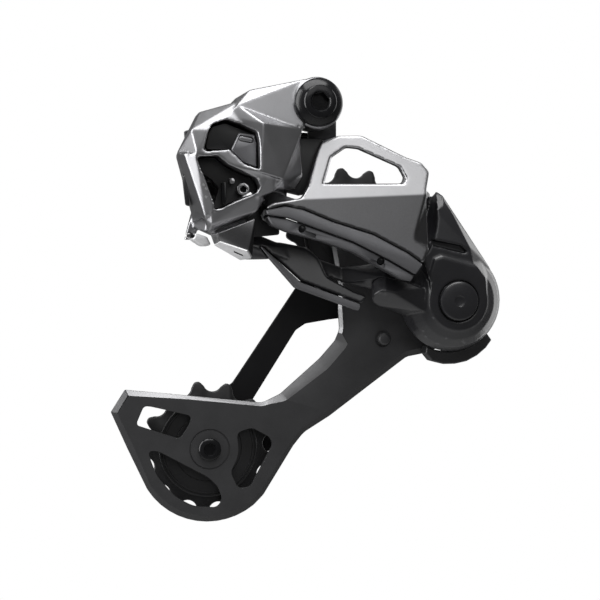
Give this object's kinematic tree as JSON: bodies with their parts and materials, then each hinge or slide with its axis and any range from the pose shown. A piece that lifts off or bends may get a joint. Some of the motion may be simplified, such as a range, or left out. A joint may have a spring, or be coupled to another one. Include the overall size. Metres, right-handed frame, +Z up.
{
  "type": "rear bicycle derailleur",
  "caption": "Rear bicycle derailleur with an electric drive: knuckles joined by a slanted parallelogram linkage, and a sprung cage that carries toothed chain wheels.",
  "frame": {"origin": "on the hanger bolt's axis, at the plane where the stop plate meets the bicycle's hanger", "axes": "+X to the front of the bicycle, +Y inboard to the wheel along the hanger bolt, +Z up"},
  "size_m": [0.1572, 0.043, 0.1766],
  "materials": {
    "casing": "satin anodised grey",
    "link": "bright satin",
    "guard": "satin",
    "dark": "dark satin",
    "plate": "matte grey",
    "inner_plate": "matte black",
    "steel": "ground steel",
    "bolt": "gloss black",
    "wheel": "satin black",
    "resin": "moulded black",
    "panel": "satin grey",
    "seal": "rubber"
  },
  "bodies": {
    "mount": {"hanger_bolt": "bolt", "hanger_bush": "steel", "stop_plate": "dark"},
    "rear_knuckle": {"rear_knuckle_casing": "casing", "battery_panel": "panel", "battery": "resin", "rear_back_cover": "resin", "drive_motor": "steel", "drive_gearbox": "resin", "drive_unit": "resin", "drive_lever": "bolt", "lever_pin": "steel", "lever_spring": "steel", "adjust_screw": "bolt", "rear_lower_cover": "casing", "battery_latch": "resin", "door_hinge_pin": "steel", "rear_outer_pin": "steel", "rear_inner_pin": "steel"},
    "outer_link": {"outer_link": "link", "outer_link_guard": "guard", "outer_link_skid": "guard", "skid_screw_rear": "bolt", "skid_screw_front": "bolt"},
    "inner_link": {"inner_link": "dark", "inner_link_cover": "guard"},
    "front_knuckle": {"front_knuckle_housing": "dark", "front_knuckle_cap": "dark", "front_outer_pin": "steel", "front_inner_pin": "steel", "cage_spring": "steel", "axle_sleeve": "resin", "knuckle_seal": "seal", "knuckle_skirt": "resin"},
    "cage": {"cage_outer_plate": "plate", "cage_inner_plate": "inner_plate", "cage_axle": "steel", "stop_pin": "steel", "tension_bolt": "bolt", "guide_bolt": "bolt", "tension_sleeve": "steel", "guide_sleeve": "steel"},
    "guide_wheel": {"guide_wheel": "wheel", "guide_bearing": "steel", "guide_shield_outer": "wheel", "guide_shield_inner": "wheel"},
    "tension_wheel": {"tension_wheel": "wheel", "tension_bearing": "steel", "tension_shield_outer": "wheel", "tension_shield_inner": "wheel"},
    "function_button": {"function_button": "panel"},
    "battery_door": {"battery_door": "casing"}
  },
  "joints": [
    {"name": "rear_knuckle_swing", "type": "hinge", "parent": "mount", "child": "rear_knuckle", "pos_m": [0, 0, 0], "axis": [0, 1, 0], "range_deg": [0, 25]},
    {"name": "outer_link_turn", "type": "hinge", "parent": "rear_knuckle", "child": "outer_link", "pos_m": [-0.016, -0.0067, -0.0385], "axis": [0.1146, 0.6428, 0.7574], "range_deg": [0, 50]},
    {"name": "inner_link_turn", "type": "hinge", "parent": "rear_knuckle", "child": "inner_link", "pos_m": [-0.02484, 0.00862, -0.05016], "axis": [0.1146, 0.6428, 0.7574], "range_deg": [0, 50]},
    {"name": "front_knuckle_turn", "type": "hinge", "parent": "outer_link", "child": "front_knuckle", "pos_m": [0.03963, -0.01118, -0.04311], "axis": [0.1146, 0.6428, 0.7574], "range_deg": [-50, 0]},
    {"name": "cage_swing", "type": "hinge", "parent": "front_knuckle", "child": "cage", "pos_m": [0.05753, 0, -0.07731], "axis": [0, 1, 0], "range_deg": [-90, 0], "stiffness_Nm_per_rad": 0.3, "springref_deg": 85.94},
    {"name": "guide_wheel_spin", "type": "hinge", "parent": "cage", "child": "guide_wheel", "pos_m": [0.01965, 0.0127, -0.04999], "axis": [0, 1, 0], "continuous": true},
    {"name": "tension_wheel_spin", "type": "hinge", "parent": "cage", "child": "tension_wheel", "pos_m": [-0.03967, 0.0127, -0.13687], "axis": [0, 1, 0], "continuous": true},
    {"name": "function_button_press", "type": "slide", "parent": "rear_knuckle", "child": "function_button", "axis": [0, 1, 0], "range_m": [0, 0.0008], "stiffness_N_per_m": 1500, "springref_m": -0.0007},
    {"name": "battery_door_turn", "type": "hinge", "parent": "rear_knuckle", "child": "battery_door", "pos_m": [-0.048, -0.003, -0.0514], "axis": [0, 1, 0], "range_deg": [0, 60]}
  ],
  "couplings": [
    {"joint": "inner_link_turn", "follows": "outer_link_turn", "ratio": 1},
    {"joint": "front_knuckle_turn", "follows": "outer_link_turn", "ratio": -1}
  ]
}
